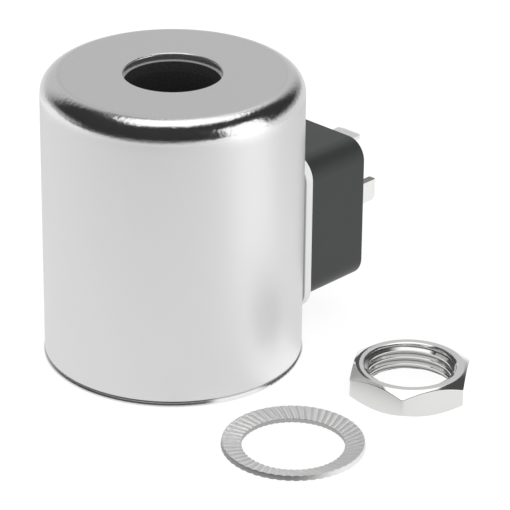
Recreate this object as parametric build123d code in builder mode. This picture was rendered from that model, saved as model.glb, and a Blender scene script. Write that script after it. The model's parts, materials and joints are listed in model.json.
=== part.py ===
"""Plug-in solenoid coil of a cartridge valve, with its loose hex nut and ribbed lock washer.

The armature tube of a screw-in valve passes up the coil's bore. The washer and the nut go on
the tube's threaded end and clamp the coil. Here both lie beside it, on the surface it stands on.

Millimetres. +Z is up, along the bore. +X is the way the plug connector faces.
The origin is on the bore's axis, at the underside of the base plate.
"""
from build123d import *
from math import atan2, cos, degrees, pi, radians, sin, sqrt, tan
import os

os.makedirs("parts", exist_ok=True)

# ---- driving dimensions: steel can ----
can_diameter = 51.0
can_height = 58.7  # from the base plate's underside to the can's top face
can_sheet = 1.2
shoulder_radius = 4.0  # drawn shoulder between top and wall, outside
lip_diameter = 19.1  # hole in the can's top
lip_round = 0.35
can_gap = 0.15  # between the can and what it encloses
foot_round = 0.3

# ---- driving dimensions: bore and magnetic circuit ----
tube_diameter = 18.0  # armature tube that the coil is pushed over
bore_clearance = 0.1  # radial
base_rim = 0.8  # thickness of the base plate's visible rim
base_thickness = 5.0
base_rim_reach = 0.2  # the rim stands out beyond the can's wall by this much
rim_land = 0.2  # straight part of the rim, under its rounded upper edge
rim_chamfer = 0.1
pole_ring_thickness = 3.9
pole_ring_bore_gap = 0.35  # round the bobbin's neck
pole_ring_gap = 0.1
pole_ring_chamfer = 2.4  # clears the inside of the can's shoulder

# ---- driving dimensions: bobbin and winding ----
bobbin_wall = 1.3
bobbin_flange = 1.5  # thickness
flange_space = 3.15  # radial room for potting between the flanges and the can
flange_overhang = 0.55  # the flanges stand out this far beyond the tape
bobbin_neck_wall = 1.7
lead_in_depth = 2.3
lead_in_width = 0.25
lead_slot_width = 2.0
lead_slot_depth = 3.0
lead_angle = 20.0  # of the leads and their slots, either side of the connector's direction
winding_gap = 0.1
tape_gap = 0.05
tape_thickness = 0.4
potting_gap = 0.15

# ---- driving dimensions: plug connector, on a plane facing +X ----
face_reach = 13.4  # from the can's wall out to the connector's face
block_width = 30.3
block_height = 30.2
block_corner = 4.3
block_wall = 2.4
block_front_wall = 5.6
block_edge_round = 0.4
seat_clearance = 0.3  # between the bobbin's flanges and the block that seats round them
boss_diameter = 8.4
boss_length = 5.0
boss_rib = 1.6
plinth_height = 0.5
plinth_margin = 1.0
collar_setback = 2.75  # from the can's wall in to the collar's flat front
collar_rise = 0.25  # clearance between the base plate and the collar
collar_wall = 1.0  # at the sides
collar_top_wall = 1.45
collar_foot_wall = 1.4
collar_clearance = 0.05
collar_edge_round = 0.45
window_clearance = 0.2
lug_width = 2.0
lug_thickness = 1.2
lug_height = 26.0
lug_gap = 0.4  # between the lugs and the can

# ---- driving dimensions: contacts ----
line_spacing = 18.0
line_tab_height = 4.4
line_tab_thickness = 1.7
line_tab_reach = 9.5  # beyond the connector's face
earth_rise = 8.5  # above the connector's centre
earth_tab_width = 6.0
earth_tab_thickness = 0.8
earth_tab_reach = 12.9
tip_chamfer = 0.9
tip_bevel = 0.25
tip_bevel_length = 0.8
tail_length = 4.5
tail_shoulder = 0.75  # how far the tail stands back from the blade's edges
insert_diameter = 5.0
insert_length = 7.5
insert_groove = 0.4  # depth of the groove that keys it into the moulding
insert_groove_width = 0.8
insert_core_diameter = 2.5  # M3 thread core
insert_mouth = 0.4
lead_diameter = 1.2
lead_start_height = 12.0
lead_bend = 1.2
lead_slope_drop = 2.4  # the lead turns outwards this far below the crimp
lead_gap = 0.1
crimp_length = 4.0
crimp_wall = 0.65
crimp_gap = 0.05
strap_width = 3.0
strap_thickness = 0.5
strap_clearance = 0.1  # between the strap and the block's seat
strap_bend = 1.0
strap_slot_margin = 0.3

# ---- driving dimensions: loose hex nut, M18 x 1.5 ----
nut_place = (18.7, -46.0, 0.0)
nut_turn = 34.4  # angle of a corner from +X, degrees
nut_flats = 22.0
nut_height = 5.9
nut_core_diameter = 16.4
nut_mouth_diameter = 18.4
nut_face_diameter = 21.0
nut_chamfer_angle = 30.0

# ---- driving dimensions: loose lock washer, conical, ribbed on both faces ----
washer_place = (-13.55, -45.4, 0.0)
washer_outer = 27.2
washer_inner = 19.6
washer_thickness = 1.1
washer_edge = 0.3  # bevel round the upper outer edge
washer_dish = 0.8
rib_count = 56
rib_depth = 0.16
rib_skew = 15.0  # ribs lean away from the radius, degrees
rib_land = 0.3  # flat left on the crest of a rib

# ---- worked out from the above ----
can_radius = can_diameter / 2
can_inner = can_radius - can_sheet
lip_radius = lip_diameter / 2
core_radius = can_inner - can_gap
bore_radius = tube_diameter / 2 + bore_clearance
can_foot = base_rim + can_gap
rim_radius = can_radius + base_rim_reach
can_ceiling = can_height - can_sheet
pole_ring_top = can_ceiling - pole_ring_gap
pole_ring_bottom = pole_ring_top - pole_ring_thickness
pole_ring_bore = bore_radius + bobbin_neck_wall + pole_ring_bore_gap
bobbin_tube = bore_radius + bobbin_wall
bobbin_neck = bore_radius + bobbin_neck_wall
bobbin_flange_radius = core_radius - flange_space
bobbin_top = pole_ring_bottom - pole_ring_gap
winding_bottom = base_thickness + bobbin_flange + winding_gap
winding_top = bobbin_top - bobbin_flange - winding_gap
winding_inner = bobbin_tube + winding_gap
tape_outer = bobbin_flange_radius - flange_overhang
tape_inner = tape_outer - tape_thickness
winding_outer = tape_inner - tape_gap
seat_radius = bobbin_flange_radius + seat_clearance
face_distance = can_radius + face_reach
collar_distance = can_radius - collar_setback
collar_foot = base_thickness + collar_rise
block_middle = collar_foot + collar_foot_wall + collar_clearance + block_height / 2
collar_width = block_width + 2 * (collar_clearance + collar_wall)
collar_height = collar_foot_wall + block_height + 2 * collar_clearance + collar_top_wall
collar_middle = collar_foot + collar_height / 2
collar_corner = block_corner + collar_clearance + collar_wall / 2
lug_front = sqrt(core_radius**2 - (collar_width / 2 + lug_width) ** 2) - lug_gap
cavity_front = face_distance - block_front_wall
tail_end = cavity_front - tail_length
strap_plane = seat_radius + strap_clearance
strap_slot_plane = strap_plane + strap_thickness + strap_slot_margin


def section(*points):
    """A closed outline in the sketch's own plane, placed by its points as they are."""
    return Polygon(*points, align=None)


def ring_edge(part, radius, height):
    """The circular edge of a revolved part with this radius, at this height."""
    circles = part.edges().filter_by(GeomType.CIRCLE)
    return circles.sort_by(lambda edge: abs(edge.radius - radius) + abs(edge.center().Z - height))[0]


# ---- can: deep-drawn, with a window for the connector ----
with BuildPart() as can_shell:
    with BuildSketch(Plane.XZ):
        section(
            (lip_radius, can_height),
            (can_radius, can_height),
            (can_radius, can_foot),
            (can_inner, can_foot),
            (can_inner, can_ceiling),
            (lip_radius, can_ceiling),
        )
    revolve(axis=Axis.Z)
    fillet(ring_edge(can_shell, can_radius, can_height), shoulder_radius)
    fillet(ring_edge(can_shell, can_inner, can_ceiling), shoulder_radius - can_sheet)
    fillet(ring_edge(can_shell, lip_radius, can_height), lip_round)
    fillet(ring_edge(can_shell, can_radius, can_foot), foot_round)
    with BuildSketch(Plane.YZ):
        with Locations((0, collar_middle)):
            RectangleRounded(
                collar_width + 2 * window_clearance,
                collar_height + 2 * window_clearance,
                collar_corner + window_clearance,
            )
    extrude(amount=can_diameter, mode=Mode.SUBTRACT)
can_shell.part.label = "can_shell"

# ---- base plate: its rim closes the can, its spigot centres it ----
with BuildPart() as base_plate:
    with BuildSketch(Plane.XZ):
        section(
            (bore_radius, 0),
            (rim_radius, 0),
            (rim_radius, base_rim),
            (core_radius, base_rim),
            (core_radius, base_thickness),
            (bore_radius, base_thickness),
        )
    revolve(axis=Axis.Z)
    fillet(ring_edge(base_plate, rim_radius, base_rim), base_rim - rim_land)
    chamfer(ring_edge(base_plate, rim_radius, 0), rim_chamfer)
base_plate.part.label = "base_plate"

# ---- pole ring: upper end of the magnetic circuit, under the can's top ----
with BuildPart() as pole_ring:
    with BuildSketch(Plane.XZ):
        section(
            (pole_ring_bore, pole_ring_bottom),
            (core_radius, pole_ring_bottom),
            (core_radius, pole_ring_top),
            (pole_ring_bore, pole_ring_top),
        )
    revolve(axis=Axis.Z)
    chamfer(ring_edge(pole_ring, core_radius, pole_ring_top), pole_ring_chamfer)
pole_ring.part.label = "pole_ring"

# ---- bobbin: moulded spool whose tube is the coil's bore ----
with BuildPart() as bobbin:
    with BuildSketch(Plane.XZ):
        section(
            (bore_radius, base_thickness),
            (bobbin_flange_radius, base_thickness),
            (bobbin_flange_radius, base_thickness + bobbin_flange),
            (bobbin_tube, base_thickness + bobbin_flange),
            (bobbin_tube, bobbin_top - bobbin_flange),
            (bobbin_flange_radius, bobbin_top - bobbin_flange),
            (bobbin_flange_radius, bobbin_top),
            (bobbin_neck, bobbin_top),
            (bobbin_neck, pole_ring_top),
            (bore_radius + lead_in_width, pole_ring_top),
            (bore_radius, pole_ring_top - lead_in_depth),
        )
    revolve(axis=Axis.Z)
    with BuildSketch(Plane.XY.offset(bobbin_top)):
        for slot_angle in (-lead_angle, lead_angle):
            with PolarLocations(bobbin_flange_radius, 1, start_angle=slot_angle):
                Rectangle(2 * lead_slot_depth, lead_slot_width)
    extrude(amount=-bobbin_flange, mode=Mode.SUBTRACT)
bobbin.part.label = "bobbin"

# ---- winding and the tape round it ----
with BuildPart() as winding:
    with BuildSketch(Plane.XY.offset(winding_bottom)):
        Circle(winding_outer)
        Circle(winding_inner, mode=Mode.SUBTRACT)
    extrude(amount=winding_top - winding_bottom)
winding.part.label = "winding"

with BuildPart() as winding_tape:
    with BuildSketch(Plane.XY.offset(winding_bottom)):
        Circle(tape_outer)
        Circle(tape_inner, mode=Mode.SUBTRACT)
    extrude(amount=winding_top - winding_bottom)
winding_tape.part.label = "winding_tape"

# ---- potting: fills the can round the winding, open where the connector sits ----
potting_bottom = base_thickness + potting_gap
potting_top = pole_ring_bottom - potting_gap
with BuildPart() as encapsulation:
    with BuildSketch(Plane.XZ):
        section(
            (core_radius, potting_bottom),
            (core_radius, potting_top),
            (bobbin_flange_radius + potting_gap, potting_top),
            (bobbin_flange_radius + potting_gap, winding_top),
            (tape_outer + potting_gap, winding_top),
            (tape_outer + potting_gap, winding_bottom),
            (bobbin_flange_radius + potting_gap, winding_bottom),
            (bobbin_flange_radius + potting_gap, potting_bottom),
        )
    revolve(axis=Axis.Z)
    with BuildSketch(Plane.YZ):
        with Locations((0, collar_middle)):
            RectangleRounded(
                collar_width + 2 * window_clearance,
                collar_height + 2 * window_clearance,
                collar_corner + window_clearance,
            )
        with Locations((0, collar_foot)):
            Rectangle(collar_width + 2 * window_clearance, collar_height)
        with Locations((0, block_middle)):
            Rectangle(
                collar_width + 2 * (lug_width + window_clearance),
                lug_height + 2 * window_clearance,
            )
        with Locations((0, bobbin_top)):
            Rectangle(strap_width + 2 * strap_slot_margin, can_height)
    extrude(amount=can_diameter, mode=Mode.SUBTRACT)
encapsulation.part.label = "encapsulation"

# ---- collar: plated steel frame round the connector's root, held by two lugs ----
with BuildPart() as connector_collar:
    with BuildSketch(Plane.YZ.offset(collar_distance)):
        with Locations((0, collar_middle)):
            RectangleRounded(collar_width, collar_height, collar_corner)
    extrude(amount=-collar_distance)
    with BuildSketch(Plane.YZ.offset(collar_distance)):
        with Locations((0, block_middle)):
            RectangleRounded(
                block_width + 2 * collar_clearance,
                block_height + 2 * collar_clearance,
                block_corner + collar_clearance,
            )
    extrude(amount=-collar_distance, mode=Mode.SUBTRACT)
    with BuildSketch(Plane.XY):
        Circle(seat_radius)
    extrude(amount=can_height, mode=Mode.SUBTRACT)
    front_outline = connector_collar.faces().sort_by(Axis.X)[-1].outer_wire().edges()
    fillet(front_outline, collar_edge_round)
    with BuildSketch(Plane.YZ.offset(lug_front)):
        with Locations((0, block_middle)):
            for side in (-1, 1):
                with Locations((side * (collar_width + lug_width) / 2, 0)):
                    Rectangle(lug_width, lug_height)
    extrude(amount=-lug_thickness)
    with BuildSketch(Plane.YZ.offset(strap_slot_plane)):
        with Locations((0, collar_middle + collar_height / 2)):
            Rectangle(strap_width + 2 * strap_slot_margin, 2 * block_wall)
    extrude(amount=-collar_distance, mode=Mode.SUBTRACT)
connector_collar.part.label = "connector_collar"

# ---- connector block: moulded plug base, hollow behind its front wall ----
line_sides = (-1, 1)
earth_height = block_middle + earth_rise
with BuildPart() as connector_block:
    with BuildSketch(Plane.YZ.offset(face_distance)):
        with Locations((0, block_middle)):
            RectangleRounded(block_width, block_height, block_corner)
    extrude(amount=-face_distance)
    fillet(connector_block.faces().sort_by(Axis.X)[-1].outer_wire().edges(), block_edge_round)
    with BuildSketch(Plane.YZ.offset(cavity_front)):
        with Locations((0, block_middle)):
            RectangleRounded(
                block_width - 2 * block_wall,
                block_height - 2 * block_wall,
                block_corner - block_wall,
            )
    extrude(amount=-cavity_front, mode=Mode.SUBTRACT)
    with BuildSketch(Plane.YZ.offset(cavity_front)):
        with Locations((0, block_middle)):
            Circle(boss_diameter / 2)
            Rectangle(boss_rib, block_height / 2 - block_wall / 2, align=(Align.CENTER, Align.MAX))
    extrude(amount=-boss_length)
    with BuildSketch(Plane.YZ.offset(face_distance)):
        with Locations((0, block_middle)):
            for side in line_sides:
                with Locations((side * line_spacing / 2, 0)):
                    RectangleRounded(
                        line_tab_thickness + 2 * plinth_margin,
                        line_tab_height + 2 * plinth_margin,
                        plinth_margin / 2,
                    )
        with Locations((0, earth_height)):
            RectangleRounded(
                earth_tab_width + 2 * plinth_margin,
                earth_tab_thickness + 2 * plinth_margin,
                plinth_margin / 2,
            )
    extrude(amount=plinth_height)
    with BuildSketch(Plane.YZ.offset(face_distance + plinth_height)):
        with Locations((0, block_middle)):
            for side in line_sides:
                with Locations((side * line_spacing / 2, 0)):
                    Rectangle(line_tab_thickness, line_tab_height)
        with Locations((0, earth_height)):
            Rectangle(earth_tab_width, earth_tab_thickness)
    extrude(amount=-(block_front_wall + plinth_height), mode=Mode.SUBTRACT)
    with BuildSketch(Plane.YZ.offset(face_distance)):
        with Locations((0, block_middle)):
            Circle(insert_diameter / 2)
    extrude(amount=-insert_length, mode=Mode.SUBTRACT)
    with BuildSketch(Plane.XY):
        Circle(seat_radius)
    extrude(amount=can_height, mode=Mode.SUBTRACT)
    with BuildSketch(Plane.YZ.offset(strap_slot_plane)):
        with Locations((0, block_middle + block_height / 2)):
            Rectangle(strap_width + 2 * strap_slot_margin, 2 * (block_wall + strap_slot_margin))
    extrude(amount=-face_distance, mode=Mode.SUBTRACT)
connector_block.part.label = "connector_block"


def export(part):
    """Writes a finished piece under its label."""
    export_step(part, f"parts/{part.label}.step")


# ---- line tabs: blades on edge, with a narrow tail for the crimp ----
for number, side in enumerate(line_sides, start=1):
    tab_plane = Plane.XZ.offset(-side * line_spacing / 2 + line_tab_thickness / 2)
    half = line_tab_height / 2
    tail_half = half - tail_shoulder
    tab_tip = face_distance + line_tab_reach
    with BuildPart() as line_tab:
        with BuildSketch(tab_plane):
            section(
                (tail_end, block_middle - tail_half),
                (cavity_front, block_middle - tail_half),
                (cavity_front, block_middle - half),
                (tab_tip - tip_chamfer, block_middle - half),
                (tab_tip, block_middle - half + tip_chamfer),
                (tab_tip, block_middle + half),
                (cavity_front, block_middle + half),
                (cavity_front, block_middle + tail_half),
                (tail_end, block_middle + tail_half),
            )
        extrude(amount=-line_tab_thickness)
        tip_face = line_tab.faces().sort_by(Axis.X)[-1]
        chamfer(tip_face.edges().filter_by(Axis.Z), tip_bevel)
    line_tab.part.label = f"line_tab_{number}"
    export(line_tab.part)

# ---- earth tab: a flat blade above the screw ----
with BuildPart() as earth_tab:
    with BuildSketch(Plane.XY.offset(earth_height - earth_tab_thickness / 2)):
        earth_tip = face_distance + earth_tab_reach
        half_width = earth_tab_width / 2
        tail_half_width = half_width - tail_shoulder
        section(
            (tail_end, -tail_half_width),
            (cavity_front, -tail_half_width),
            (cavity_front, -half_width),
            (earth_tip - tip_chamfer, -half_width),
            (earth_tip, -half_width + tip_chamfer),
            (earth_tip, half_width - tip_chamfer),
            (earth_tip - tip_chamfer, half_width),
            (cavity_front, half_width),
            (cavity_front, tail_half_width),
            (tail_end, tail_half_width),
        )
    extrude(amount=earth_tab_thickness)
    tip_edges = earth_tab.faces().sort_by(Axis.X)[-1].edges().filter_by(Axis.Y)
    for tip_edge, inner_side in ((tip_edges.sort_by(Axis.Z)[-1], 1), (tip_edges.sort_by(Axis.Z)[0], -1)):
        flat = earth_tab.faces().filter_by(Axis.Z).sort_by(Axis.Z)[-1 if inner_side > 0 else 0]
        chamfer(tip_edge, tip_bevel_length, tip_bevel, reference=flat)
earth_tab.part.label = "earth_tab"

# ---- earth strap: from the earth tab's tail up to the pole ring ----
strap_top = pole_ring_bottom
tail_underside = earth_height - earth_tab_thickness / 2
with BuildPart() as earth_strap:
    with BuildSketch(Plane.XZ.offset(-strap_width / 2)):
        section(
            (tail_end + tail_length / 2, tail_underside),
            (tail_end + tail_length / 2, tail_underside - strap_thickness),
            (strap_plane, tail_underside - strap_thickness),
            (strap_plane, strap_top),
            (strap_plane + strap_thickness, strap_top),
            (strap_plane + strap_thickness, tail_underside),
        )
    extrude(amount=strap_width)
    bend = earth_strap.edges().filter_by(Axis.Y).sort_by(Axis.X)
    outer_bend = bend.sort_by_distance((strap_plane, 0, tail_underside - strap_thickness))[0]
    fillet(outer_bend, strap_bend)
earth_strap.part.label = "earth_strap"

# ---- screw insert: brass, for the plug's centre screw ----
with BuildPart() as screw_insert:
    with BuildSketch(Plane.YZ.offset(face_distance)):
        with Locations((0, block_middle)):
            Circle(insert_diameter / 2)
            Circle(insert_core_diameter / 2, mode=Mode.SUBTRACT)
    extrude(amount=-insert_length)
    mouth = screw_insert.edges().filter_by(GeomType.CIRCLE).group_by(Axis.X)[-1]
    chamfer(mouth.sort_by(lambda edge: edge.radius)[0], insert_mouth)
    with BuildSketch(Plane.YZ.offset(face_distance - insert_length / 2)):
        with Locations((0, block_middle)):
            Circle(insert_diameter / 2)
            Circle(insert_diameter / 2 - insert_groove, mode=Mode.SUBTRACT)
    extrude(amount=insert_groove_width / 2, both=True, mode=Mode.SUBTRACT)
screw_insert.part.label = "screw_insert"

# ---- leads and their crimps: from the taped winding to the line tabs' tails ----
lead_radius = lead_diameter / 2
lead_track = tape_outer + lead_gap + lead_radius
lead_x = lead_track * cos(radians(lead_angle))
lead_y = lead_track * sin(radians(lead_angle))
crimp_start = tail_end - crimp_length
for name, side in zip(("start", "finish"), line_sides):
    with BuildPart() as lead:
        with BuildLine() as lead_path:
            FilletPolyline(
                (lead_x, side * lead_y, lead_start_height),
                (lead_x, side * lead_y, block_middle - lead_slope_drop),
                (crimp_start - lead_bend, side * line_spacing / 2, block_middle),
                (tail_end, side * line_spacing / 2, block_middle),
                radius=lead_bend,
            )
        with BuildSketch(Plane((lead_x, side * lead_y, lead_start_height))):
            Circle(lead_radius)
        sweep(path=lead_path.wire())
    lead.part.label = f"{name}_lead"
    export(lead.part)
    with BuildPart() as crimp:
        with BuildSketch(Plane.YZ.offset(crimp_start)):
            with Locations((side * line_spacing / 2, block_middle)):
                Circle(lead_radius + crimp_gap + crimp_wall)
                Circle(lead_radius + crimp_gap, mode=Mode.SUBTRACT)
        extrude(amount=crimp_length)
    crimp.part.label = f"{name}_crimp"
    export(crimp.part)

# ---- hex nut: thin, chamfered on both faces ----
nut_corner = nut_flats / sqrt(3)
nut_drop = (nut_corner - nut_face_diameter / 2) * tan(radians(nut_chamfer_angle))
nut_core = nut_core_diameter / 2
nut_mouth = nut_mouth_diameter / 2 - nut_core
with BuildPart() as hex_nut:
    with BuildSketch(Plane(nut_place)):
        RegularPolygon(radius=nut_corner, side_count=6, rotation=nut_turn)
    extrude(amount=nut_height)
    with BuildSketch(Plane(nut_place, x_dir=(1, 0, 0), z_dir=(0, -1, 0))):
        section(
            (nut_core, nut_mouth),
            (nut_core + nut_mouth, 0),
            (nut_face_diameter / 2, 0),
            (nut_corner, nut_drop),
            (nut_corner, nut_height - nut_drop),
            (nut_face_diameter / 2, nut_height),
            (nut_core + nut_mouth, nut_height),
            (nut_core, nut_height - nut_mouth),
        )
    revolve(axis=Axis(nut_place, (0, 0, 1)), mode=Mode.INTERSECT)
hex_nut.part.label = "hex_nut"

# ---- lock washer: dished ring, with skewed ribs pressed into both faces ----
inner_radius = washer_inner / 2
outer_radius = washer_outer / 2
middle_radius = (inner_radius + outer_radius) / 2
cone_angle = degrees(atan2(washer_dish, outer_radius - inner_radius))
groove_half = (2 * pi * middle_radius / rib_count - rib_land) / 2
groove_line = Vector(1, 0, 0).rotate(Axis.Y, -cone_angle).rotate(Axis.Z, rib_skew)
groove_across = Vector(0, 1, 0).rotate(Axis.Z, rib_skew)
with BuildPart() as groove:
    for face_height, into in ((washer_thickness, -rib_depth), (0, rib_depth)):
        groove_middle = (middle_radius, 0, washer_dish / 2 + face_height)
        with BuildSketch(Plane(groove_middle, x_dir=groove_across, z_dir=groove_line)):
            section((-groove_half, 0), (0, into), (groove_half, 0), (0, -into))
        extrude(amount=washer_outer - washer_inner, both=True)
with BuildPart() as lock_washer:
    with BuildSketch(Plane(washer_place, x_dir=(1, 0, 0), z_dir=(0, -1, 0))):
        section(
            (inner_radius, 0),
            (outer_radius, washer_dish),
            (outer_radius, washer_dish + washer_thickness),
            (inner_radius, washer_thickness),
        )
    revolve(axis=Axis(washer_place, (0, 0, 1)))
    chamfer(ring_edge(lock_washer, outer_radius, washer_dish + washer_thickness), washer_edge)
    with Locations(washer_place):
        with PolarLocations(0, rib_count):
            add(groove.part, mode=Mode.SUBTRACT)
lock_washer.part.label = "lock_washer"

for piece in (
    can_shell,
    base_plate,
    pole_ring,
    bobbin,
    winding,
    winding_tape,
    encapsulation,
    connector_collar,
    connector_block,
    earth_tab,
    earth_strap,
    screw_insert,
    hex_nut,
    lock_washer,
):
    export(piece.part)
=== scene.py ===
"""Looks of the solenoid coil of a cartridge valve, with its loose hex nut and lock washer.

Metres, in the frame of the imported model: +Z is up along the coil's bore and +X is the way the plug
connector faces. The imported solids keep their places. Two pieces are made finer here: the nut with
its thread turns, and the ribbed lock washer. Every other solid gets its finish.
"""

import json
from math import atan2, cos, pi, radians, sin, tan

import bmesh
import bpy
import numpy as np
from mathutils import Matrix, Vector

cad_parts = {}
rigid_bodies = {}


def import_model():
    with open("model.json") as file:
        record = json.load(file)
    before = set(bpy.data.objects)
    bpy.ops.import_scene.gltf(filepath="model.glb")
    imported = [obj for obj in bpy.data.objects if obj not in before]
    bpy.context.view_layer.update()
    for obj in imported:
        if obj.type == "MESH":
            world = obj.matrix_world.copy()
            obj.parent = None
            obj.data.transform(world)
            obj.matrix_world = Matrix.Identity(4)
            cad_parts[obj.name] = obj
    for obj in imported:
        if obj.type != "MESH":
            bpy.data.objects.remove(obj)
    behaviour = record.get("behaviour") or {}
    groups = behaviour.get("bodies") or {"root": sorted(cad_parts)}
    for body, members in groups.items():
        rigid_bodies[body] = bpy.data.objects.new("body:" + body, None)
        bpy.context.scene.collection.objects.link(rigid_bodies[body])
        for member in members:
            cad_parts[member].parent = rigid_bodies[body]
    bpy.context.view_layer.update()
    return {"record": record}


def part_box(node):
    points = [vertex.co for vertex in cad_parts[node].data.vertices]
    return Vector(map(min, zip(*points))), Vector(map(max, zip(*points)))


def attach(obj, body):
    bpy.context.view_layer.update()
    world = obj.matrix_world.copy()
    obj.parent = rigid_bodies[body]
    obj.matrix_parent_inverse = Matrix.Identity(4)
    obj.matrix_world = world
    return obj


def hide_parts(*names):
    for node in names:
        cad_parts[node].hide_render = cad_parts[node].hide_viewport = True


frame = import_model()
MM = 0.001


# ---- camera ----
CAMERA_PLACE = Vector((-0.38348, -0.38667, 0.28486))
CAMERA_TARGET = Vector((0.01105, -0.01163, 0.02014))
CAMERA_ROLL = radians(0.61)
CAMERA_LENS = 217.85
CAMERA_SENSOR = 36.0
CAMERA_NEAR = 0.01
CAMERA_FAR = 20.0


def make_camera():
    """A long lens that looks down on the coil from its left front, rolled a little to the right."""
    ahead = (CAMERA_TARGET - CAMERA_PLACE).normalized()
    level = ahead.cross(Vector((0, 0, 1))).normalized()
    upright = level.cross(ahead)
    right = cos(CAMERA_ROLL) * level + sin(CAMERA_ROLL) * upright
    up = cos(CAMERA_ROLL) * upright - sin(CAMERA_ROLL) * level
    turn = Matrix((right, up, -ahead)).transposed().to_4x4()
    data = bpy.data.cameras.new("camera")
    data.lens = CAMERA_LENS
    data.sensor_width = CAMERA_SENSOR
    data.clip_start = CAMERA_NEAR
    data.clip_end = CAMERA_FAR
    camera = bpy.data.objects.new("camera", data)
    camera.matrix_world = Matrix.Translation(CAMERA_PLACE) @ turn
    bpy.context.scene.collection.objects.link(camera)
    bpy.context.scene.camera = camera
    return ahead


LOOK = make_camera()


def box_middle(node):
    """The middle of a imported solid's box."""
    low, high = (Vector(corner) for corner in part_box(node))
    return (low + high) / 2


# ---- node trees ----
NOISE_LOW, NOISE_HIGH = 0.3, 0.7  # most of a noise lies between these


class Nodes:
    """A node tree with short calls: each returns the socket that carries the result."""

    def __init__(self, tree):
        self.tree = tree
        tree.nodes.clear()

    def put(self, socket, value):
        """Links a value that comes from another node, and writes down any other."""
        if isinstance(value, bpy.types.NodeSocket):
            self.tree.links.new(value, socket)
        else:
            socket.default_value = value

    def node(self, kind, **inputs):
        made = self.tree.nodes.new(kind)
        for name, value in inputs.items():
            self.put(made.inputs[name.replace("_", " ")], value)
        return made

    def math(self, operation, *values):
        made = self.tree.nodes.new("ShaderNodeMath")
        made.operation = operation
        for socket, value in zip(made.inputs, values):
            self.put(socket, value)
        return made.outputs[0]

    def chain(self, operation, first, *values):
        """The operation on the first two values, then on the result and the next value, and so on."""
        for value in values:
            first = self.math(operation, first, value)
        return first

    def product(self, *values):
        return self.chain("MULTIPLY", *values)

    def total(self, *values):
        return self.chain("ADD", *values)

    def less(self, first, second):
        return self.math("SUBTRACT", first, second)

    def over(self, first, second):
        return self.math("DIVIDE", first, second)

    def at_least(self, value, limit):
        return self.math("MAXIMUM", value, limit)

    def length(self, first, second):
        squares = (self.math("POWER", side, 2.0) for side in (first, second))
        return self.math("SQRT", self.total(*squares))

    def ramp(self, value, low, high, start=0.0, end=1.0):
        """Goes smoothly from start to end as the value goes from low to high."""
        made = self.node(
            "ShaderNodeMapRange", Value=value, From_Min=low, From_Max=high, To_Min=start, To_Max=end
        )
        made.interpolation_type = "SMOOTHSTEP"
        return made.outputs[0]

    def fall(self, value, low, high):
        """Goes smoothly from one to zero as the value goes from low to high."""
        return self.ramp(value, low, high, 1.0, 0.0)

    def window(self, value, low, high, soft):
        """One between low and high, zero outside, each edge spread over twice its softness."""
        rising = self.ramp(value, low - soft, low + soft)
        return self.product(rising, self.fall(value, high - soft, high + soft))

    def spread(self, noise, low, high):
        """Goes from low to high over the range that most of a noise lies in."""
        return self.ramp(noise, NOISE_LOW, NOISE_HIGH, low, high)

    def between(self, share, first, second):
        """The value that share of the way leads to, from the first to the second."""
        return self.total(first, self.product(share, self.less(second, first)))

    def blend(self, share, first, second):
        """The colour that share of the way leads to, from the first to the second."""
        made = self.tree.nodes.new("ShaderNodeMix")
        made.data_type = "RGBA"
        # the node's colour sockets come after those for numbers and vectors
        for socket, value in ((0, share), (6, first), (7, second)):
            self.put(made.inputs[socket], value)
        return made.outputs[2]

    def grey(self, value):
        return self.node("ShaderNodeCombineColor", Red=value, Green=value, Blue=value).outputs[0]

    def place(self, source="Object"):
        """X, Y and Z of the place that is shaded: on a piece, metres in the model's frame."""
        where = self.node("ShaderNodeTexCoord").outputs[source]
        return self.node("ShaderNodeSeparateXYZ", Vector=where).outputs

    def height(self):
        return self.place()[2]

    def radius(self):
        """Distance from the coil's axis."""
        x, y, _ = self.place()
        return self.length(x, y)

    def off_middle(self, node):
        """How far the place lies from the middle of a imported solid's box, along X and along Y."""
        x, y, _ = self.place()
        middle = box_middle(node)
        return self.less(x, middle.x), self.less(y, middle.y)

    def toward(self, place, direction):
        """How far a place lies along a level direction."""
        return self.total(self.product(place[0], direction[0]), self.product(place[1], direction[1]))

    def upright(self):
        """How far the surface's normal leans from level: 0 on a wall, 1 on a level face."""
        normal = self.node("ShaderNodeNewGeometry").outputs["Normal"]
        return self.math("ABSOLUTE", self.node("ShaderNodeSeparateXYZ", Vector=normal).outputs[2])

    def noise(self, scale, detail):
        where = self.node("ShaderNodeTexCoord").outputs["Object"]
        return self.node("ShaderNodeTexNoise", Vector=where, Scale=scale, Detail=detail).outputs[0]


class Finish(Nodes):
    """A material with a principled shader, and short calls for what varies over the surface."""

    def __init__(self, name, **sockets):
        self.material = bpy.data.materials.new(name)
        self.material.use_nodes = True
        super().__init__(self.material.node_tree)
        self.shader = self.node("ShaderNodeBsdfPrincipled", **sockets)
        self.node("ShaderNodeOutputMaterial", Surface=self.shader.outputs[0])

    def let(self, name, value):
        """Gives the shader's own socket a number or a link."""
        self.put(self.shader.inputs[name], value)

    def tone(self, share, low, high):
        """Lets the colour drift between two tones."""
        self.let("Base Color", self.blend(share, low, high))

    def rough(self, noise, low, high):
        """Lets the roughness drift between two values."""
        self.let("Roughness", self.spread(noise, low, high))

    def relief(self, height, strength, distance):
        bump = self.node("ShaderNodeBump", Strength=strength, Distance=distance, Height=height)
        self.let("Normal", bump.outputs[0])


def neutral(level):
    """A grey without a tint."""
    return level, level, level, 1


def warm(level):
    """A grey with a trace less blue, as zinc has."""
    return level, level, level - 0.005, 1


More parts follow.
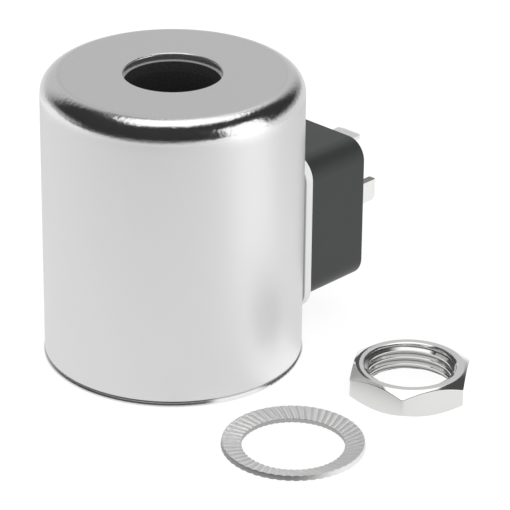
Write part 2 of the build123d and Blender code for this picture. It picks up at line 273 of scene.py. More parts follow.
# ---- finish of the can ----
CAN_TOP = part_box("can_shell")[1][2]
SHOULDER_FOOT = CAN_TOP - 4.0 * MM
LIP_RADIUS = 9.55 * MM
TOP_BAND = CAN_TOP - 0.12 * MM, CAN_TOP - 0.02 * MM
SHOULDER_BAND = SHOULDER_FOOT - 0.6 * MM, SHOULDER_FOOT + 0.9 * MM
HAZE_BAND = SHOULDER_FOOT - 2.5 * MM, SHOULDER_FOOT + 0.5 * MM
LIP_BAND = LIP_RADIUS + 0.02 * MM, LIP_RADIUS + 0.15 * MM
WALL_TONES = (0.765, 0.767, 0.767, 1), (0.795, 0.795, 0.793, 1)
# painted shade: the top's tone is set darker than the wall's
TOP_SHADE_TONE = neutral(0.71)
CAN_ROUGH = (0.38, 0.44), (0.12, 0.2), (0.28, 0.34)  # of the wall, the shoulder and the top
WALL_MIRROR = 0.5  # the hazy wall is half mirror and half matt
LIP_MIRROR = 0.9
CLOUD_SCALE = 60
CAN_GRAIN_SCALE, CAN_GRAIN_SHARE = 4200, 0.01
SKIN_SCALE, SKIN_STRENGTH, SKIN_DEPTH = 1100, 0.4, 0.12 * MM


def can_plating():
    """Bright zinc-nickel on drawn steel: a hazy satin wall, a polished shoulder and a satin top, with
    painted shade on the top.

    The drawing left a grainy skin on the shoulder.
    """
    look = Finish("can_plating")
    height = look.height()
    grain = look.noise(CAN_GRAIN_SCALE, detail=3.0)
    on_top = look.ramp(height, *TOP_BAND)
    on_shoulder = look.ramp(height, *SHOULDER_BAND)
    # painted shade: the top gets a darker tone than the wall
    look.tone(on_top, look.blend(look.noise(CLOUD_SCALE, detail=4.0), *WALL_TONES), TOP_SHADE_TONE)
    wall, shoulder, top = (look.spread(grain, *rough) for rough in CAN_ROUGH)
    look.let("Roughness", look.between(on_top, look.between(on_shoulder, wall, shoulder), top))
    lip = look.ramp(look.radius(), *LIP_BAND, LIP_MIRROR, 1.0)
    look.let("Metallic", look.product(lip, look.ramp(height, *HAZE_BAND, WALL_MIRROR, 1.0)))
    skin = look.product(look.noise(SKIN_SCALE, detail=5.0), look.less(on_shoulder, on_top))
    look.relief(look.total(look.product(grain, CAN_GRAIN_SHARE), skin), SKIN_STRENGTH, SKIN_DEPTH)
    return look.material


# ---- finish of the base plate and the pole ring ----
RING_PITCH = 0.18 * MM
# painted highlight: a stretch of the rim made pale and not metal, along one way across the plate
STEEL_HIGHLIGHT_WAY = 0.69, -0.72
STEEL_HIGHLIGHT_START, STEEL_HIGHLIGHT_END = (6.5 * MM, 9.5 * MM), (16.5 * MM, 19 * MM)  # along that way
STEEL_HIGHLIGHT_RADIUS = 24.6 * MM, 25 * MM
STEEL_HIGHLIGHT_TONE = neutral(0.98)
STEEL_TONES = neutral(0.7), (0.78, 0.78, 0.775, 1)
STEEL_ROUGH = 0.3, 0.38


def magnet_steel():
    """Turned and plated steel: fine rings round the Z axis, and a painted highlight on one stretch of
    the rim.
    """
    look = Finish("magnet_steel")
    across = look.toward(look.place(), STEEL_HIGHLIGHT_WAY)
    # painted highlight on that stretch of the rim: a pale tone and no metal
    painted_highlight = look.product(
        look.ramp(across, *STEEL_HIGHLIGHT_START),
        look.fall(across, *STEEL_HIGHLIGHT_END),
        look.ramp(look.radius(), *STEEL_HIGHLIGHT_RADIUS),
    )
    look.tone(painted_highlight, look.blend(look.noise(300, detail=4.0), *STEEL_TONES), STEEL_HIGHLIGHT_TONE)
    look.let("Metallic", look.less(1.0, painted_highlight))
    look.rough(look.noise(2600, detail=2.0), *STEEL_ROUGH)
    rings = look.math("SINE", look.product(look.radius(), 2 * pi / RING_PITCH))
    look.relief(rings, strength=0.08, distance=0.01 * MM)
    return look.material


# ---- finishes of the other plated parts ----
GRAIN_DEPTH = 0.02 * MM  # of the relief on plating and mouldings
DRIFT_SCALE = 240  # of the slow drift of a tone over a small part
# painted shade where the collar enters the can's window
COLLAR_SHADE_SPAN = 20.45 * MM, 20.9 * MM  # along X, where the collar comes out of the can
# painted reflection: near-white matt tones stand in for the bright plating's mirror
COLLAR_REFLECTION_TONES = (0.95, 0.955, 0.95, 1), neutral(0.98)
COLLAR_SHADE_TONE = neutral(0.3)
TIN_TONES = (0.86, 0.86, 0.85, 1), (0.92, 0.92, 0.91, 1)
# painted shade on the line blades' upward level faces
TIN_SHADE_TONE = 0.3, 0.3, 0.29, 1
TIN_SHADE_UPRIGHT = 0.6, 0.8
TIN_SHADE_HEIGHT = 27 * MM, 27.1 * MM  # above the line blades and below the earth blade
BRASS_TONES = (0.66, 0.48, 0.19, 1), (0.74, 0.56, 0.25, 1)
NUT_TONES = warm(0.84), warm(0.88)
# painted shade on the flats
NUT_FLAT_SHADE_TONE = warm(0.52)
NUT_SHADED_FLAT_UPRIGHT = 0.1, 0.3
NUT_OUTSIDE = 9.1 * MM, 9.3 * MM  # the radius where the bore gives way to the outside
NUT_MOUTH_EDGE = 8.99 * MM, 9.05 * MM
# painted shade in the thread's roots
THREAD_SHADE_SPAN = 8.65 * MM, 8.9 * MM
THREAD_SHADE_TONES = warm(0.74), warm(0.4)  # from the crests out to the roots
NUT_MIRROR = 0.92, 0.95  # in the bore and outside
# the first way sets the painted light and shade across the washer
WASHER_LIGHT_WAY, RUBBED_WAY = (0.9, -0.43), (0.29, -0.96)
CUT_UPRIGHT = 0.45, 0.75  # where a sheared rim gives way to a face
# painted light: the faces lighter to one side
WASHER_FACE_LIGHT_TONES = warm(0.96), warm(0.8)
WASHER_FACE_LIGHT_SPAN = -12 * MM, 12 * MM
# painted light and shade on the outer rim: dark to one side, pale to the other
RIM_LIGHT_TONES, RIM_LIGHT_SPAN = (warm(0.34), warm(0.95)), (-6 * MM, 5 * MM)
# painted shade on the inner rim
INNER_RIM_SHADE_TONE = warm(0.42)
INNER_RIM_SHADE_RADIUS = 10.2 * MM, 10.6 * MM
MATT_SPAN = -5 * MM, 7 * MM
WASHER_MIRROR, MATT_MIRROR = 0.9, 0.25
WASHER_ROUGH = 0.38, 0.46
RUBBED_SPAN, RUBBED_ROUGH = (0.0, 9 * MM), 0.16  # what the rubbing adds


def grained(look, scale, rough, strength):
    """A fine grain in the roughness and the relief of a plated part."""
    grain = look.noise(scale, 2.0)
    look.rough(grain, *rough)
    look.relief(grain, strength, GRAIN_DEPTH)


def collar_plating():
    """Satin on the pressed collar: a near-white painted reflection for its bright plating, with painted
    shade in the crevice where it enters the can.
    """
    look = Finish("collar_plating")
    # painted reflection in the near-white tones, and painted shade toward the can
    pale = look.blend(look.noise(DRIFT_SCALE, detail=3.0), *COLLAR_REFLECTION_TONES)
    look.tone(look.ramp(look.place()[0], *COLLAR_SHADE_SPAN), COLLAR_SHADE_TONE, pale)
    grained(look, scale=3000, rough=(0.3, 0.4), strength=0.03)
    return look.material


def tinned_contact():
    """Bright tin on the contacts, with painted shade on the line blades' level faces."""
    look = Finish("tinned_contact", Metallic=1.0)
    # painted shade: the line blades' level faces get a dark tone
    level = look.ramp(look.upright(), *TIN_SHADE_UPRIGHT)
    low = look.fall(look.height(), *TIN_SHADE_HEIGHT)
    bright = look.blend(look.noise(DRIFT_SCALE, detail=3.0), *TIN_TONES)
    look.tone(look.product(level, low), bright, TIN_SHADE_TONE)
    grained(look, scale=2600, rough=(0.28, 0.36), strength=0.03)
    return look.material


def brass_insert():
    """Turned brass, left bright."""
    look = Finish("brass_insert", Metallic=1.0)
    look.tone(look.noise(DRIFT_SCALE, detail=3.0), *BRASS_TONES)
    grained(look, scale=3800, rough=(0.16, 0.28), strength=0.03)
    return look.material


def nut_plating():
    """Bright zinc on the nut, thinner down its bore, with painted shade on its flats and in the roots of
    its thread.
    """
    look = Finish("nut_plating")
    radius = look.length(*look.off_middle("hex_nut"))
    outside = look.ramp(radius, *NUT_OUTSIDE)
    bright = look.blend(look.noise(DRIFT_SCALE, detail=3.0), *NUT_TONES)
    # painted shade: the thread darkens toward its roots
    thread = look.blend(look.ramp(radius, *THREAD_SHADE_SPAN), *THREAD_SHADE_TONES)
    bore = look.blend(look.ramp(radius, *NUT_MOUTH_EDGE), thread, bright)
    # painted shade on the flats
    shaded_flat = look.product(look.fall(look.upright(), *NUT_SHADED_FLAT_UPRIGHT), outside)
    look.tone(shaded_flat, look.blend(outside, bore, bright), NUT_FLAT_SHADE_TONE)
    look.let("Metallic", look.between(outside, *NUT_MIRROR))
    grained(look, scale=3800, rough=(0.06, 0.12), strength=0.03)
    return look.material


def washer_plating():
    """Satin zinc on the washer, with painted light and shade: its sheared outer rim dark on one side
    and pale on the other, its faces lighter on the rim's dark side, and its inner rim dark.

    One way across the ring sets these painted tones, and another how far it is rubbed matt.
    """
    look = Finish("washer_plating")
    off = look.off_middle("lock_washer")
    across = look.toward(off, WASHER_LIGHT_WAY)
    inner = look.fall(look.length(*off), *INNER_RIM_SHADE_RADIUS)
    # painted light and shade on the rims: the outer rim dark to one side and pale to the other, the
    # inner rim dark
    rim = look.blend(inner, look.blend(look.ramp(across, *RIM_LIGHT_SPAN), *RIM_LIGHT_TONES), INNER_RIM_SHADE_TONE)
    cut = look.fall(look.upright(), *CUT_UPRIGHT)
    # painted light: the faces lighter to one side
    look.tone(cut, look.blend(look.ramp(across, *WASHER_FACE_LIGHT_SPAN), *WASHER_FACE_LIGHT_TONES), rim)
    matt = look.product(look.ramp(across, *MATT_SPAN), cut, look.less(1.0, inner))
    look.let("Metallic", look.between(matt, WASHER_MIRROR, MATT_MIRROR))
    grain = look.noise(3200, detail=2.0)
    rubbed = look.ramp(look.toward(off, RUBBED_WAY), *RUBBED_SPAN, 0.0, RUBBED_ROUGH)
    look.let("Roughness", look.total(look.spread(grain, *WASHER_ROUGH), rubbed))
    look.relief(grain, strength=0.1, distance=GRAIN_DEPTH)
    return look.material


# ---- finishes of mouldings, winding and leads ----
BORE_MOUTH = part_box("bobbin")[1][2]
LEAD_IN_BAND = BORE_MOUTH - 2.6 * MM, BORE_MOUTH - 2.1 * MM
# painted glint on the edge of the bore's mouth
MOUTH_GLINT_BAND = BORE_MOUTH - 0.32 * MM, BORE_MOUTH - 0.2 * MM
# painted shade: darker down the bore
BOBBIN_SHADE_LEVELS = 0.034, 0.038  # down the bore and in its mouth
MOUTH_GLINT_LEVEL = 0.5
WIRE_PITCH = 0.5 * MM
TAPE_WIDTH = 12 * MM


def moulded(name, rough, specular=0.45):
    """Moulded or cast plastic: a fine spark-eroded grain and a soft sheen, still without a tone."""
    look = Finish(name, Specular_IOR_Level=specular)
    grain = look.noise(4200, detail=3.0)
    look.rough(grain, *rough)
    look.relief(grain, strength=0.25, distance=GRAIN_DEPTH)
    return look


def black_moulding():
    """Glass-filled nylon of the connector block."""
    look = moulded("black_moulding", rough=(0.36, 0.44), specular=0.36)
    look.tone(look.noise(180, detail=4.0), (0.038, 0.041, 0.04, 1), (0.044, 0.047, 0.0455, 1))
    return look.material


def potting():
    """Cast resin round the winding."""
    look = moulded("potting", rough=(0.35, 0.5))
    look.tone(look.noise(180, detail=4.0), (0.05, 0.05, 0.055, 1), (0.07, 0.07, 0.075, 1))
    return look.material


def bobbin_moulding():
    """Glossy moulded nylon, with painted shade down the bore and a painted glint on the edge of its
    mouth.
    """
    look = moulded("bobbin_moulding", rough=(0.22, 0.32))
    height = look.height()
    # painted shade down the bore
    lead_in = look.ramp(height, *LEAD_IN_BAND, *BOBBIN_SHADE_LEVELS)
    # painted glint on the edge of the mouth
    level = look.between(look.ramp(height, *MOUTH_GLINT_BAND), lead_in, MOUTH_GLINT_LEVEL)
    look.let("Base Color", look.grey(level))
    return look.material


def copper_wire():
    """Enamelled wire in close turns up the bobbin, with painted shade where the turns meet."""
    look = Finish("copper", Metallic=1.0, Coat_Weight=0.6, Coat_Roughness=0.15)
    turns = look.math("ABSOLUTE", look.math("SINE", look.product(look.height(), pi / WIRE_PITCH)))
    # painted shade: the colour darkens where the turns meet
    look.tone(turns, (0.3, 0.09, 0.03, 1), (0.78, 0.36, 0.17, 1))
    look.rough(look.noise(900, detail=2.0), low=0.22, high=0.34)
    look.relief(turns, strength=0.8, distance=0.2 * MM)
    return look.material


def winding_tape():
    """Yellow polyester tape, its turns lapped."""
    look = Finish("tape", Coat_Weight=0.3)
    laps = look.math("FRACT", look.over(look.height(), TAPE_WIDTH))
    look.tone(laps, (0.6, 0.42, 0.05, 1), (0.74, 0.55, 0.1, 1))
    look.rough(look.noise(700, detail=3.0), low=0.22, high=0.4)
    look.relief(laps, strength=0.4, distance=0.06 * MM)
    return look.material


def lead_insulation():
    """Red silicone over the strands, dusty and a little uneven."""
    look = Finish("lead_insulation", Specular_IOR_Level=0.35)
    look.tone(look.noise(500, detail=4.0), (0.4, 0.03, 0.025, 1), (0.56, 0.06, 0.04, 1))
    look.rough(look.noise(1500, detail=3.0), low=0.45, high=0.62)
    look.relief(look.noise(2400, detail=2.0), strength=0.2, distance=0.03 * MM)
    return look.material


FINISHES = {
    "can_plating": can_plating(),
    "magnet_steel": magnet_steel(),
    "collar_plating": collar_plating(),
    "black_moulding": black_moulding(),
    "bobbin_moulding": bobbin_moulding(),
    "potting": potting(),
    "copper": copper_wire(),
    "tape": winding_tape(),
    "tinned_contact": tinned_contact(),
    "brass_insert": brass_insert(),
    "lead_insulation": lead_insulation(),
    "nut_plating": nut_plating(),
    "washer_plating": washer_plating(),
}


def node_object(name):
    """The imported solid's own object."""
    meshes = (part for part in bpy.data.objects if part.type == "MESH")
    return next(part for part in meshes if part.name.split(".")[0] == name)


def finish_solids():
    """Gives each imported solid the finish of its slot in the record."""
    for subpart in frame["record"]["subparts"]:
        solid = node_object(subpart["node"])
        material = FINISHES[subpart["material_slot"]]
        if not solid.material_slots:
            solid.data.materials.append(material)
        for place in solid.material_slots:
            place.material = material


finish_solids()


# ---- surfaces from grids of points ----
SHARP_ANGLE = radians(28)
SAME_PLACE = 1e-7


def sheet_of(points):
    """Corners and four-sided cells of a grid: cell (i, j) joins the points at i, i + 1 and j, j + 1."""
    rows, columns = points.shape[:2]
    index = np.arange(rows * columns).reshape(rows, columns)
    cells = np.stack([index[:-1, :-1], index[1:, :-1], index[1:, 1:], index[:-1, 1:]], axis=-1)
    return points.reshape(-1, 3), cells.reshape(-1, 4)


def closed_piece(name, grids, slot, body, node):
    """One closed piece from grids of points whose edges meet: points in the same place become one."""
    mesh = bpy.data.meshes.new(name)
    corners, cells = zip(*(sheet_of(grid) for grid in grids))
    starts = np.cumsum([0] + [len(group) for group in corners[:-1]])
    cells = np.concatenate([group + start for group, start in zip(cells, starts)])
    mesh.from_pydata(np.concatenate(corners).tolist(), [], cells.tolist())
    made = bmesh.new()
    made.from_mesh(mesh)
    bmesh.ops.remove_doubles(made, verts=made.verts, dist=SAME_PLACE)
    bmesh.ops.recalc_face_normals(made, faces=made.faces)
    made.to_mesh(mesh)
    made.free()
    mesh.polygons.foreach_set("use_smooth", np.ones(len(mesh.polygons), dtype=bool))
    mesh.materials.append(FINISHES[slot])
    mesh.set_sharp_from_angle(angle=SHARP_ANGLE)
    piece = bpy.data.objects.new(name, mesh)
    bpy.context.scene.collection.objects.link(piece)
    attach(piece, body)
    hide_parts(node)
    return piece


def round_about(node, angle, section):
    """Points of a section of radii and heights, carried round the middle of a node's box.

    At each angle x is the middle's plus radius times cosine, y the middle's plus radius times sine,
    and z the foot of the box plus height.
    """
    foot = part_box(node)[0][2]
    middle = box_middle(node)
    radius, height = section[..., 0], section[..., 1]
    x = middle.x + radius * np.cos(angle)[:, None]
    y = middle.y + radius * np.sin(angle)[:, None]
    return np.stack([x, y, foot + height], axis=-1)


def soften(corners, reaches, count):
    """Cuts the corners of a section by parabolas, each leaving and joining it at a corner's reach.

    Corners are (angle, corner, radius and height). The first and last are the section's own ends.
    Each parabola is (1 - t)^2 leave + 2 t (1 - t) corner + t^2 join, at count steps of t.
    """
    before, corner, after = corners[:, :-2], corners[:, 1:-1], corners[:, 2:]
    reaches = np.array(reaches)[None, :, None]
    leave = corner + reaches * (before - corner) / np.linalg.norm(before - corner, axis=2, keepdims=True)
    join = corner + reaches * (after - corner) / np.linalg.norm(after - corner, axis=2, keepdims=True)
    leave, corner, join = (part[:, :, None, :] for part in (leave, corner, join))
    step = np.linspace(0, 1, count)[None, None, :, None]
    arcs = (1 - step) ** 2 * leave + 2 * step * (1 - step) * corner + step**2 * join
    return np.concatenate([corners[:, :1], arcs.reshape(len(corners), -1, 2), corners[:, -1:]], axis=1)


# ---- hex nut ----
NUT_FLATS = 22.0 * MM
NUT_FACE = 10.5 * MM  # radius where the face gives way to the chamfer
NUT_MOUTH = 9.2 * MM
NUT_CHAMFER = tan(radians(30))
NUT_TURN = radians(34.4)
NUT_CROWN = 0.045 * MM  # the faces stand this much above their edges
NUT_CROWN_SHARE = 0.85  # of the crown's half width that its curves take up
NUT_EDGE = 0.09 * MM
NUT_COLUMNS = 480
NUT_ARC_POINTS = 7
CORNER_SHARPNESS = 90
MOUTH_SPREAD = tan(radians(60))
MOUTH_DEPTH = 0.35 * MM
THREAD_PITCH = 1.5 * MM
THREAD_CORE = 8.2 * MM
THREAD_DEPTH = 0.8 * MM
THREAD_ROWS = 24  # for each turn
THREAD_CREST, THREAD_FLANKS = 0.16, 0.68  # shares of a turn
THREAD_BURR = 0.14 * MM


def hexagon(angle):
    """Radius of the nut's hexagon with softened corners.

    Half the flats over the norm of the six cosines, one toward the middle of each flat.
    """
    steps = np.arange(6) * pi / 3
    facing = np.maximum(np.cos(angle[:, None] - NUT_TURN - pi / 6 - steps), 0)
    return NUT_FLATS / 2 / np.sum(facing**CORNER_SHARPNESS, axis=1) ** (1 / CORNER_SHARPNESS)


def thread_groove(turn):
    """Share of the thread's depth over one turn: a flat crest, a flank, a narrow root, a flank."""
    off_root = np.abs(turn % 1.0 - 0.5) * 2
    return np.clip((1 - THREAD_CREST - off_root) / THREAD_FLANKS, 0, 1)


def make_nut():
    """Two surfaces over the angle round the nut: the threaded bore and the outside.

    A row of the bore is one line along the helix: its radius is the thread's at the row's share of
    a turn, and its height is the pitch times (share - 1 + angle / full turn), held between the two
    mouths. So the last column's rows meet the first column's, one turn up. Where a row meets the
    mouth's cone, the larger radius wins by a soft maximum: half the sum of both and of the root of
    their squared difference plus the squared burr.
    The outside goes over the crowned face, down the 30 degree cone to the hexagon's radius at this
    angle, down the flat, and back underneath.
    """
    low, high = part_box("hex_nut")
    height = high[2] - low[2]
    angle = NUT_TURN + np.linspace(0, 2 * pi, NUT_COLUMNS + 1)
    turn = np.linspace(0, 1, NUT_COLUMNS + 1)[:, None]
    rows = int((height / THREAD_PITCH + 1) * THREAD_ROWS) + 2
    share = np.arange(rows)[None, :] / THREAD_ROWS
    climb = np.clip(THREAD_PITCH * (share - 1 + turn), NUT_CROWN, height - NUT_CROWN)
    depth = np.minimum(climb, height - climb) - NUT_CROWN
    cone = NUT_MOUTH - MOUTH_SPREAD * depth
    thread = THREAD_CORE + THREAD_DEPTH * thread_groove(share)
    burr = THREAD_BURR * np.clip(depth / MOUTH_DEPTH, 0, 1)
    bore = (thread + cone + np.sqrt((thread - cone) ** 2 + burr**2)) / 2
    side = hexagon(angle)
    drop = NUT_CROWN + (side - NUT_FACE) * NUT_CHAMFER
    middle = (NUT_MOUTH + NUT_FACE) / 2
    outline = [
        (NUT_MOUTH, height - NUT_CROWN),
        (middle, height + NUT_CROWN),
        (NUT_FACE, height - NUT_CROWN),
        (side, height - drop),
        (side, drop),
        (NUT_FACE, NUT_CROWN),
        (middle, -NUT_CROWN),
        (NUT_MOUTH, NUT_CROWN),
    ]
    even = np.ones(len(angle))
    rings = [np.stack([radius * even, level * even], axis=-1) for radius, level in outline]
    crown_reach = NUT_CROWN_SHARE * (NUT_FACE - middle)
    reaches = (crown_reach, NUT_EDGE, NUT_EDGE, NUT_EDGE, NUT_EDGE, crown_reach)
    grids = [
        round_about("hex_nut", angle, np.stack([bore, climb], axis=-1)),
        round_about("hex_nut", angle, soften(np.stack(rings, axis=1), reaches, NUT_ARC_POINTS)),
    ]
    return closed_piece("nut", grids, "nut_plating", "nut", "hex_nut")


# ---- lock washer ----
WASHER_OUTER = 13.6 * MM
WASHER_INNER = 9.9 * MM
WASHER_THICKNESS = 1.08 * MM
WASHER_DISH = 0.8 * MM
WASHER_TOP_EDGE = 0.14 * MM  # rounding of the upper outer edge
WASHER_EDGE = 0.12 * MM  # rounding of the other edges
WASHER_ARC_POINTS = 5
WASHER_FACE_POINTS = 21
RIB_COUNT = 54
RIB_COLUMNS = 16  # for each rib
RIB_DEPTH = 0.1 * MM
RIB_SKEW = radians(15)
GROOVE_START, GROOVE_END = -0.3, 0.95  # of the wave round the ring, from a rib's foot to full depth
GROOVE_ROUND = 0.85


def rib_groove(angle, reach):
    """Share of the groove's depth: rounded grooves between wide flat ribs, along skewed lines."""
    middle = (WASHER_INNER + WASHER_OUTER) / 2
    lean = (reach - middle) / middle * tan(RIB_SKEW)
    wave = np.cos(RIB_COUNT * (angle - lean))
    return np.clip((wave - GROOVE_START) / (GROOVE_END - GROOVE_START), 0, 1) ** GROOVE_ROUND


def make_washer():
    """The section of a flat ring with rounded edges, tipped so that its outer rim is the higher.

    The section is squeezed toward its middle by the grooves: a point moves in by the groove's depth
    times its share of the half thickness, so that the grooves run out through both rims.
    """
    width = WASHER_OUTER - WASHER_INNER
    tip = atan2(WASHER_DISH, width)
    length = width / cos(tip)
    thick, top_edge, edge = WASHER_THICKNESS, WASHER_TOP_EDGE, WASHER_EDGE
    face_start, face_end = edge, length - top_edge
    corners = [(face_end, thick), (length, thick), (length, 0), (0, 0), (0, thick), (face_start, thick)]
    rims = soften(np.array([corners]), (top_edge, edge, edge, edge), WASHER_ARC_POINTS)[0][1:-1]
    outer, inner = np.split(rims, 2)
    face = np.linspace(face_start, face_end, WASHER_FACE_POINTS + 2)[1:-1]
    under = np.linspace(length - edge, edge, WASHER_FACE_POINTS + 2)[1:-1]
    upper = np.stack([face, np.full(WASHER_FACE_POINTS, thick)], axis=1)
    lower = np.stack([under, np.zeros(WASHER_FACE_POINTS)], axis=1)
    section = np.concatenate([upper, outer, lower, inner, upper[:1]])
    angle = np.linspace(0, 2 * pi, RIB_COUNT * RIB_COLUMNS + 1)
    out, up = section[None, :, 0], section[None, :, 1]
    groove = rib_groove(angle[:, None], WASHER_INNER + out * cos(tip))
    up = thick / 2 + (up - thick / 2) * (1 - 2 * RIB_DEPTH * groove / thick)
    radius = WASHER_INNER + out * cos(tip) - up * sin(tip)
    height = out * sin(tip) + up * cos(tip)
    grid = round_about("lock_washer", angle, np.stack([radius, height], axis=-1))
    return closed_piece("washer", [grid], "washer_plating", "washer", "lock_washer")


make_nut()
make_washer().visible_glossy = False  # the can's wall doesn't mirror it


# ---- studio ----
FRONT = Vector((-LOOK.x, -LOOK.y, 0)).normalized()
SIDE = Vector((-FRONT.y, FRONT.x, 0))
STRIP_TURN = radians(67)  # of the strip softbox, from the front
STRIP_WAY = cos(STRIP_TURN) * FRONT + sin(STRIP_TURN) * SIDE
STRIP_SIDE = Vector((-STRIP_WAY.y, STRIP_WAY.x, 0))
HARDLY_ANY = 0.001  # keeps what is divided by away from zero

# Slopes are seen from the middle of the room: so far across, or up, for each length ahead.
OVERHEAD_EDGES = (
    # share of the slope to the side, share of the slope to the front, limit, softness
    (-1, 0, 0.4, 0.05),
    (1, 0, 0.5, 0.05),
    (0, 1, 0.21, 0.06),
    (0, -1, 0.6, 0.06),
    (0.79, 0.61, 0.27, 0.07),
    (-0.835, -0.55, 0.5, 0.08),
)
OVERHEAD_RISE = 0.3, 0.4
OVERHEAD_LEVEL = 1.35

STRIP_ACROSS = -0.38, 0.38, 0.05  # low, high, softness
STRIP_UP = -0.5, 0.87, 0.1
STRIP_LEVEL = 1.3

WALL_RIGHT = 0.25, 0.95
WALL_LEFT = -1.9, -0.6
WALL_TOP = 1.6, 1.85
WALL_LEAN, WALL_LEAN_FOOT = 1.15, 0.9  # of its left edge, above that slope
WALL_LOW, WALL_LOW_LEVELS = (0.0, 0.4), (0.64, 0.58)
WALL_HIGH = 0.65, 1.15
WALL_ACROSS, WALL_ACROSS_LEVELS = (-0.25, 0.15), (-0.3, 0.3)  # what its upper part gains

HORIZON_RISE, HORIZON_LEVEL = (0.0, 0.27), 0.5
HORIZON_FRONT = 0.3, -0.1
HORIZON_WALL = 0, 0.4
ROOM_RISE, ROOM_LEVELS = (-0.1, 0.25), (0.045, 0.026)
DOME_RISE, DOME_LEVELS = (-0.5, 1.0), (0.8, 1.15)


def overhead_softbox(nodes, z, front, side):
    """A large softbox with two cut corners, where a way's slopes stay inside every edge."""
    above = nodes.at_least(z, HARDLY_ANY)
    slopes = nodes.over(side, above), nodes.over(front, above)
    inside = [
        nodes.fall(nodes.toward(slopes, shares), limit - soft, limit + soft)
        for *shares, limit, soft in OVERHEAD_EDGES
    ]
    return nodes.product(*inside, nodes.ramp(z, *OVERHEAD_RISE))


def strip_slope(nodes, place, distance):
    """A distance over how far the place lies along the way to the strip softbox."""
    return nodes.over(distance, nodes.at_least(nodes.toward(place, STRIP_WAY), HARDLY_ANY))


def strip_softbox(nodes, place):
    """An upright strip at the right front."""
    across = strip_slope(nodes, place, nodes.toward(place, STRIP_SIDE))
    up = strip_slope(nodes, place, place[2])
    return nodes.product(nodes.window(across, *STRIP_ACROSS), nodes.window(up, *STRIP_UP))


def back_wall(nodes, z, front, side):
    """A pale wall behind, its left edge leaning and its upper part brighter to one side."""
    behind = nodes.at_least(nodes.product(front, -1.0), HARDLY_ANY)
    across, up = nodes.over(side, behind), nodes.over(z, behind)
    lean = nodes.product(nodes.at_least(nodes.less(up, WALL_LEAN_FOOT), 0.0), WALL_LEAN)
    change = nodes.ramp(across, *WALL_ACROSS, *WALL_ACROSS_LEVELS)
    low = nodes.ramp(up, *WALL_LOW, *WALL_LOW_LEVELS)
    return nodes.product(
        nodes.fall(across, *WALL_RIGHT),
        nodes.ramp(nodes.less(across, lean), *WALL_LEFT),
        nodes.fall(up, *WALL_TOP),
        nodes.total(low, nodes.product(nodes.ramp(up, *WALL_HIGH), change)),
    )


def make_studio():
    """White for the eye, an even pale dome for diffuse light, and a room of softboxes in reflections.

    Overhead is a large softbox, at the right front a strip softbox, behind a pale wall, and low down
    beside the wall a paler horizon. The rest of the room is dark.
    """
    world = bpy.data.worlds.new("studio")
    bpy.context.scene.world = world
    world.use_nodes = True
    nodes = Nodes(world.node_tree)
    place = nodes.place("Generated")
    z, front, side = place[2], nodes.toward(place, FRONT), nodes.toward(place, SIDE)
    wall = back_wall(nodes, z, front, side)
    horizon = nodes.product(
        nodes.ramp(z, *HORIZON_RISE, HORIZON_LEVEL, 0.0),
        nodes.ramp(front, *HORIZON_FRONT),
        nodes.fall(wall, *HORIZON_WALL),
    )
    shine = nodes.total(
        nodes.product(overhead_softbox(nodes, z, front, side), OVERHEAD_LEVEL),
        nodes.product(strip_softbox(nodes, place), STRIP_LEVEL),
        wall,
        horizon,
        nodes.ramp(z, *ROOM_RISE, *ROOM_LEVELS),
    )
    rays = nodes.node("ShaderNodeLightPath").outputs
    unseen = nodes.between(rays["Is Glossy Ray"], nodes.ramp(z, *DOME_RISE, *DOME_LEVELS), shine)
    strength = nodes.between(rays["Is Camera Ray"], unseen, 1.0)
    backdrop = nodes.node("ShaderNodeBackground", Color=neutral(1.0), Strength=strength)
    nodes.node("ShaderNodeOutputWorld", Surface=backdrop.outputs[0])


# ---- floor ----
FLOOR_SIZE = 6.0
FLOOR_TONE = neutral(0.14)
FLOOR_SEEN = 0.9
FLOOR_DIFFUSE = 0.6
FLOOR_WAY = FRONT - 0.45 * SIDE
FLOOR_NEAR, FLOOR_NEAR_LEVELS = (0.17, 0.29), (0.87, 0.03)  # metres along that way
FLOOR_FAR, FLOOR_FAR_LEVELS = (-0.16, -0.04), (0.74, 1.0)
# painted pool of light on the floor toward the strip softbox
FLOOR_STRIP_POOL, FLOOR_STRIP_POOL_LEVEL = (-0.32, 0.32, 0.18), 0.5
# painted shadow on the floor inside the nut
NUT_SHADE_RADIUS, NUT_SHADE_LEVEL = (7 * MM, 9.5 * MM), 0.6


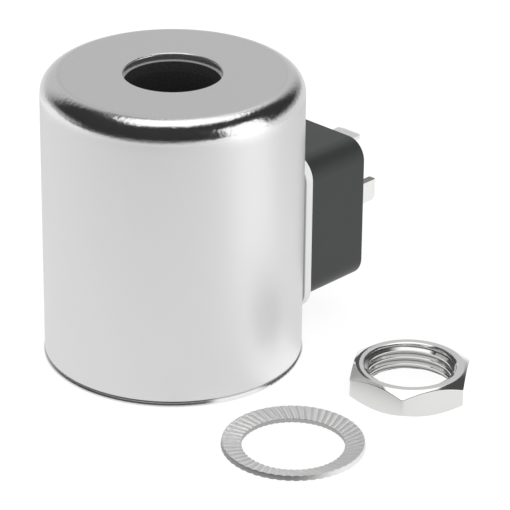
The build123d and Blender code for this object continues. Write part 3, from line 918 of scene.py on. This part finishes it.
def floor_reflection(nodes):
    """What reflections see: a sweep that runs out in front, a painted pool of light toward the strip, a
    painted shadow in the nut.
    """
    place = nodes.place()
    ahead = nodes.toward(place, FLOOR_WAY)
    near = nodes.ramp(ahead, *FLOOR_NEAR, *FLOOR_NEAR_LEVELS)
    far = nodes.ramp(ahead, *FLOOR_FAR, *FLOOR_FAR_LEVELS)
    across = strip_slope(nodes, place, nodes.toward(place, STRIP_SIDE))
    # painted pool of light toward the strip softbox
    strip = nodes.product(nodes.window(across, *FLOOR_STRIP_POOL), FLOOR_STRIP_POOL_LEVEL)
    off_nut = nodes.length(*nodes.off_middle("hex_nut"))
    # painted shadow inside the nut
    nut_shade = nodes.ramp(off_nut, *NUT_SHADE_RADIUS, NUT_SHADE_LEVEL, 1.0)
    return nodes.product(nodes.total(nodes.product(near, far), strip), nut_shade)


def make_floor():
    """White paper that glows: one level for the eye, one for diffuse light, a sweep for reflections."""
    half = FLOOR_SIZE / 2
    mesh = bpy.data.meshes.new("floor")
    corners = [(-half, -half, 0), (half, -half, 0), (half, half, 0), (-half, half, 0)]
    mesh.from_pydata(corners, [], [(0, 1, 2, 3)])
    floor = bpy.data.objects.new("floor", mesh)
    bpy.context.scene.collection.objects.link(floor)
    material = bpy.data.materials.new("floor")
    material.use_nodes = True
    nodes = Nodes(material.node_tree)
    rays = nodes.node("ShaderNodeLightPath").outputs
    glow = nodes.total(
        nodes.product(rays["Is Camera Ray"], FLOOR_SEEN),
        nodes.product(rays["Is Glossy Ray"], floor_reflection(nodes)),
        nodes.product(rays["Is Diffuse Ray"], FLOOR_DIFFUSE),
    )
    both = nodes.node("ShaderNodeAddShader")
    nodes.put(both.inputs[0], nodes.node("ShaderNodeEmission", Strength=glow).outputs[0])
    nodes.put(both.inputs[1], nodes.node("ShaderNodeBsdfDiffuse", Color=FLOOR_TONE).outputs[0])
    nodes.node("ShaderNodeOutputMaterial", Surface=both.outputs[0])
    mesh.materials.append(material)


make_floor()
make_studio()
bpy.context.scene.view_settings.view_transform = "Standard"
